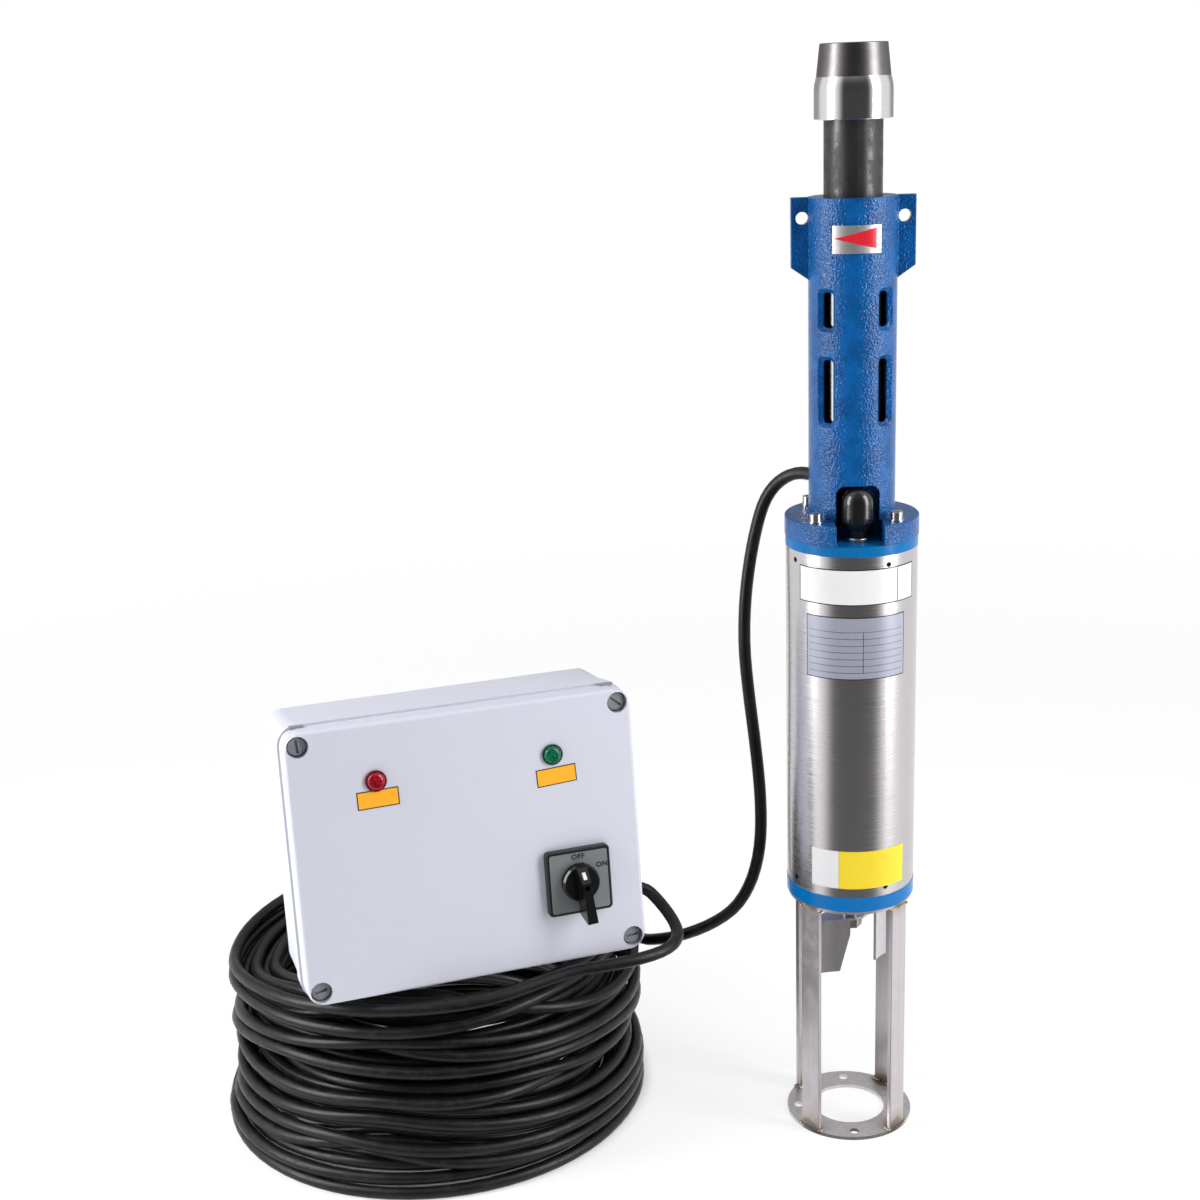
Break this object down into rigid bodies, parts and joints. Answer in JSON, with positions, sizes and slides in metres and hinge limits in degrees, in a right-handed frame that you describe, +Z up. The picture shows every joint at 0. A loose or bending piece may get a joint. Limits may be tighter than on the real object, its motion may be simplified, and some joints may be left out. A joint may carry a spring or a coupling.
{
  "type": "submersible borehole screw pump with control box",
  "caption": "Slim vertical screw pump with steel motor shell, blue cast casing, welded stand, discharge socket, coiled supply cable and switch box.",
  "frame": {"origin": "middle of the stand's base ring, on its underside, which stands on the floor", "axes": "+Z up the pump's axis towards the discharge; -Y is the pump's front, where the arch for the cable boot is; +X to the right seen from the front"},
  "size_m": [0.8047, 0.5072, 1.204],
  "materials": {
    "stainless": "mill finish, weld spots",
    "blue_paint": "smooth blue enamel",
    "brushed_shell": "fine turned lines",
    "dark_screw": "dark socket screw",
    "lamination": "stacked sheet",
    "copper_resin": "resin-coated copper",
    "carbon": "carbon",
    "blue_cast": "blue enamel on cast metal",
    "zinc": "zinc plated",
    "plain_steel": "ground",
    "polished_rotor": "polished",
    "black_rubber": "moulded",
    "black_enamel": "gloss black",
    "dark_pipe": "dark mill scale",
    "machined_steel": "turned",
    "cable_rubber": "smooth cable sheath",
    "grey_plastic": "fine grained",
    "grey_screw": "slotted",
    "grey_plug": "smooth",
    "chrome_bezel": "polished",
    "red_lens": "clear lens",
    "green_lens": "clear lens",
    "black_plastic": "moulded",
    "black_knob": "moulded",
    "grey_gland": "moulded",
    "zinc_plate": "galvanised",
    "cream_plastic": "moulded"
  },
  "bodies": {
    "pump_set": {"base_ring": "stainless", "leg_front_right": "stainless", "leg_back_right": "stainless", "leg_back_left": "stainless", "leg_front_left": "stainless", "stand_top_ring": "stainless", "motor_foot": "blue_paint", "motor_shell": "brushed_shell", "shell_screws": "dark_screw", "motor_head": "blue_paint", "stator_core": "lamination", "end_windings": "copper_resin", "lower_bush": "carbon", "upper_bush": "carbon", "thrust_pad": "carbon", "shaft_seal": "black_rubber", "pump_casing": "blue_cast", "flange_washers": "zinc", "flange_screws": "zinc", "stator_rubber": "black_rubber", "stator_tube": "black_enamel", "discharge_pipe": "dark_pipe", "discharge_socket": "machined_steel", "cable_gland": "machined_steel", "cable_boot": "black_rubber", "cable_coil": "cable_rubber", "supply_cable": "cable_rubber", "box_cable": "cable_rubber", "box_base": "grey_plastic", "box_lid": "grey_plastic", "lid_screws": "grey_screw", "hinge_plugs": "grey_plug", "red_lamp_bezel": "chrome_bezel", "green_lamp_bezel": "chrome_bezel", "red_lamp_lens": "red_lens", "green_lamp_lens": "green_lens", "switch_plate": "black_plastic", "switch_body": "black_plastic", "box_gland": "grey_gland", "mounting_plate": "zinc_plate", "contactor": "black_plastic", "terminal_strip": "cream_plastic"},
    "drive_shaft": {"motor_shaft": "stainless", "motor_rotor": "lamination", "thrust_runner": "stainless", "stirrer": "stainless", "stirrer_nut": "stainless", "shaft_coupling": "stainless"},
    "flexible_shaft": {"flex_shaft": "plain_steel"},
    "pump_rotor": {"screw_rotor": "polished_rotor"},
    "rotary_switch": {"switch_knob": "black_knob"}
  },
  "joints": [
    {"name": "shaft_spin", "type": "hinge", "parent": "pump_set", "child": "drive_shaft", "pos_m": [0, 0, 0.3], "axis": [0, 0, 1], "continuous": true},
    {"name": "flex_orbit", "type": "hinge", "parent": "pump_set", "child": "flexible_shaft", "pos_m": [0, 0, 0.75], "axis": [0, 0, 1], "continuous": true},
    {"name": "rotor_roll", "type": "hinge", "parent": "flexible_shaft", "child": "pump_rotor", "pos_m": [0.004, 0, 0.85], "axis": [0, 0, 1], "continuous": true},
    {"name": "switch_turn", "type": "hinge", "parent": "pump_set", "child": "rotary_switch", "pos_m": [-0.30676, -0.07259, 0.33357], "axis": [-0.3349, 0.9355, -0.1129], "range_deg": [0, 60]}
  ],
  "couplings": [
    {"joint": "flex_orbit", "follows": "shaft_spin", "ratio": -1},
    {"joint": "rotor_roll", "follows": "shaft_spin", "ratio": 2}
  ]
}
